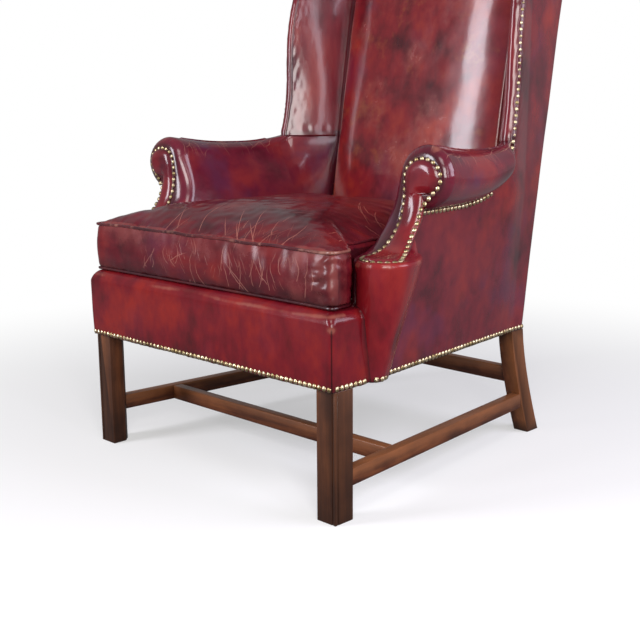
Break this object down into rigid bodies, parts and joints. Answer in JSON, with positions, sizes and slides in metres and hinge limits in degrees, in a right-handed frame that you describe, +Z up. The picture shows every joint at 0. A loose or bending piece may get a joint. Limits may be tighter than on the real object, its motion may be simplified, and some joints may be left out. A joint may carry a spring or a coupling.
{
  "type": "wingback armchair",
  "caption": "Wingback armchair in worn leather with scrolled arms, brass nail trim, a loose T-shaped seat cushion and square wooden legs joined by stretchers.",
  "frame": {"origin": "bottom centre of the bounding box, on the floor under the middle of the chair", "axes": "+Z up, +Y towards the back, +X towards the right arm as seen from in front, so the chair faces -Y"},
  "size_m": [0.8576, 0.802, 1.12],
  "materials": {
    "mahogany": "dark reddish brown mahogany, old polish worn satin",
    "beech": "plain sawn hardwood, unfinished",
    "oxblood_hide": "glossy oxblood hide with a mottled, scratched and worn patina",
    "brass": "antique brass nail heads, darkened at the edges",
    "jute": "coarse woven jute and burlap",
    "steel": "plain steel wire and screws",
    "black_cloth": "thin black cotton dust cloth"
  },
  "bodies": {
    "chair": {"front_leg_left": "mahogany", "front_leg_right": "mahogany", "rear_leg_left": "mahogany", "rear_leg_right": "mahogany", "side_stretcher_left": "mahogany", "side_stretcher_right": "mahogany", "cross_stretcher": "mahogany", "rear_stretcher": "mahogany", "front_seat_rail": "beech", "side_seat_rail_left": "beech", "side_seat_rail_right": "beech", "rear_seat_rail": "beech", "corner_blocks": "beech", "corner_screws": "steel", "back_post_left": "beech", "back_post_right": "beech", "crest_rail": "beech", "lower_back_rail": "beech", "arm_stump_left": "beech", "arm_stump_right": "beech", "arm_rail_left": "beech", "arm_rail_right": "beech", "arm_tack_rail_left": "beech", "arm_tack_rail_right": "beech", "wing_post_left": "beech", "wing_post_right": "beech", "wing_rail_left": "beech", "wing_rail_right": "beech", "seat_webbing": "jute", "seat_springs": "steel", "seat_burlap": "jute", "seat_platform": "jute", "dust_cover": "black_cloth", "back_webbing": "jute", "front_apron": "oxblood_hide", "inside_arm_left": "oxblood_hide", "inside_arm_right": "oxblood_hide", "arm_facing_left": "oxblood_hide", "arm_facing_right": "oxblood_hide", "arm_cone_left": "oxblood_hide", "arm_cone_right": "oxblood_hide", "outside_panel_left": "oxblood_hide", "outside_panel_right": "oxblood_hide", "inside_wing_left": "oxblood_hide", "inside_wing_right": "oxblood_hide", "inside_back": "oxblood_hide", "outside_back": "oxblood_hide", "rail_nails": "brass", "facing_nails_left": "brass", "facing_nails_right": "brass", "roll_nails_left": "brass", "roll_nails_right": "brass", "wing_nails_left": "brass", "wing_nails_right": "brass"},
    "cushion": {"seat_cushion": "oxblood_hide", "cushion_welt_top": "oxblood_hide", "cushion_welt_bottom": "oxblood_hide"}
  },
  "joints": [
    {"name": "cushion_lift", "type": "slide", "parent": "chair", "child": "cushion", "axis": [0, 0, 1], "range_m": [0, 0.25]}
  ]
}
